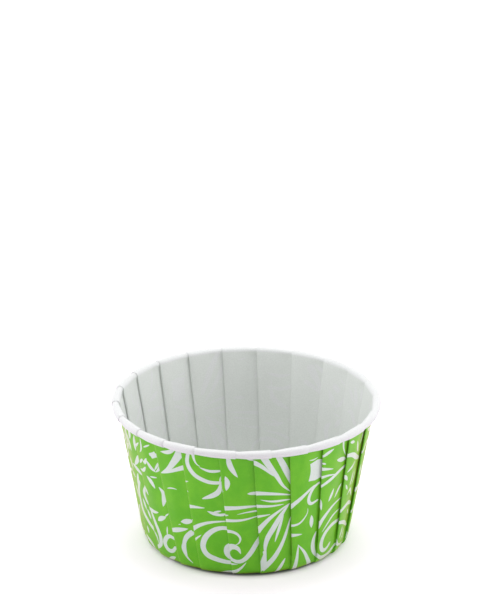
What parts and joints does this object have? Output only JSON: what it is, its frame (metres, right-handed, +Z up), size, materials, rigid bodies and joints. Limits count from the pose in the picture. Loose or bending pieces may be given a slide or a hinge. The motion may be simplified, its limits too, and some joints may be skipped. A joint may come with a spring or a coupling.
{
  "type": "cupcake liner",
  "caption": "Pleated paper baking cup with a flat base, a tapered wall and a rolled rim, which holds one small cake while it bakes and is served.",
  "frame": {"origin": "centre of the base on the surface that the liner stands on", "axes": "+Z up along the cup's axis, -Y towards the picture's viewer, +X to that viewer's right"},
  "size_m": [0.0666, 0.0666, 0.0363],
  "materials": {
    "printed_paper": "satin"
  },
  "bodies": {
    "root": {"liner": "printed_paper"}
  },
  "joints": []
}
